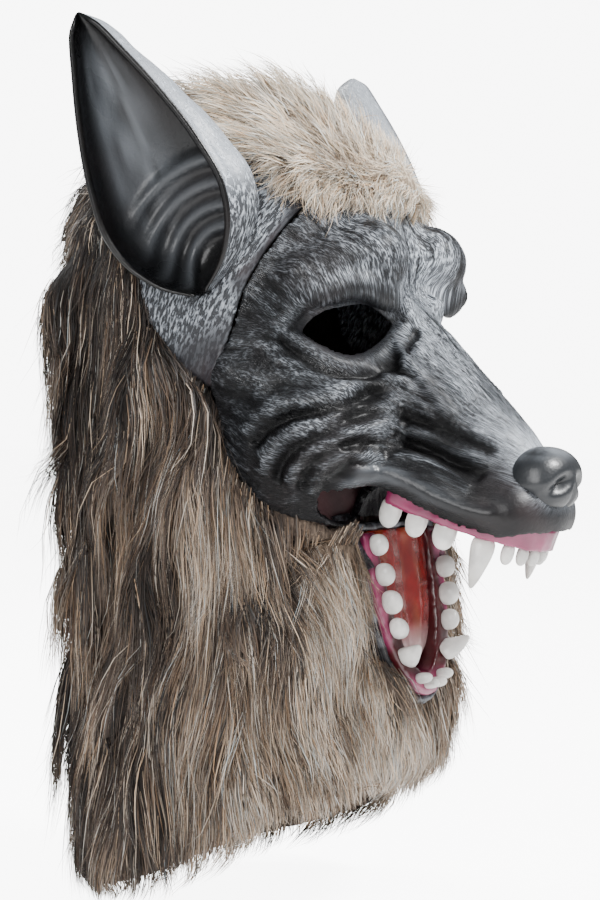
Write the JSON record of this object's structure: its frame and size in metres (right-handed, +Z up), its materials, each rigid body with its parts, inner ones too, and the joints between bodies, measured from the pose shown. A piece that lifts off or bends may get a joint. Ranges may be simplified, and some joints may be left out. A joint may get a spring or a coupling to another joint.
{
  "type": "full-head wolf mask",
  "caption": "Full-head wolf mask: moulded latex face with upright ears and an open, toothed mouth, and a long fur hood down to the neck.",
  "frame": {"origin": "inside of the crown, where the wearer's head bears, at the mount head_seat", "axes": "+Z up; the face looks along -Y; +X is the wearer's left"},
  "size_m": [0.2538, 0.2983, 0.4474],
  "materials": {
    "latex_grey": "moulded dark grey latex, satin, with silver-white paint brushed over its raised hair strokes",
    "nose_black": "near-black latex with a wet gloss",
    "gum_pink": "glossy painted latex, magenta pink",
    "tongue_red": "glossy painted latex, red with a pale pink tip",
    "mouth_maroon": "dark maroon painted latex",
    "tooth_ivory": "glossy ivory white paint",
    "fur_brown": "long pile, brown and grey mixed with silver and beige",
    "fur_cream": "long pile, cream and beige with grey"
  },
  "bodies": {
    "root": {"face_shell": "latex_grey", "nose_pad": "nose_black", "ear_left": "latex_grey", "ear_right": "latex_grey", "fur_crest": "fur_cream", "fur_hood": "fur_brown", "fur_beard": "fur_cream", "mouth_roof": "mouth_maroon", "lower_jaw": "latex_grey", "upper_gum": "gum_pink", "lower_gum": "gum_pink", "tongue": "tongue_red", "upper_molar_rear_left": "tooth_ivory", "upper_molar_mid_left": "tooth_ivory", "upper_molar_front_left": "tooth_ivory", "upper_canine_left": "tooth_ivory", "upper_incisor_outer_left": "tooth_ivory", "upper_incisor_mid_left": "tooth_ivory", "upper_incisor_inner_left": "tooth_ivory", "lower_molar_rear_left": "tooth_ivory", "lower_molar_mid_left": "tooth_ivory", "lower_molar_front_left": "tooth_ivory", "lower_premolar_left": "tooth_ivory", "lower_canine_left": "tooth_ivory", "lower_incisor_outer_left": "tooth_ivory", "lower_incisor_inner_left": "tooth_ivory", "upper_molar_rear_right": "tooth_ivory", "upper_molar_mid_right": "tooth_ivory", "upper_molar_front_right": "tooth_ivory", "upper_canine_right": "tooth_ivory", "upper_incisor_outer_right": "tooth_ivory", "upper_incisor_mid_right": "tooth_ivory", "upper_incisor_inner_right": "tooth_ivory", "lower_molar_rear_right": "tooth_ivory", "lower_molar_mid_right": "tooth_ivory", "lower_molar_front_right": "tooth_ivory", "lower_premolar_right": "tooth_ivory", "lower_canine_right": "tooth_ivory", "lower_incisor_outer_right": "tooth_ivory", "lower_incisor_inner_right": "tooth_ivory"}
  },
  "joints": []
}
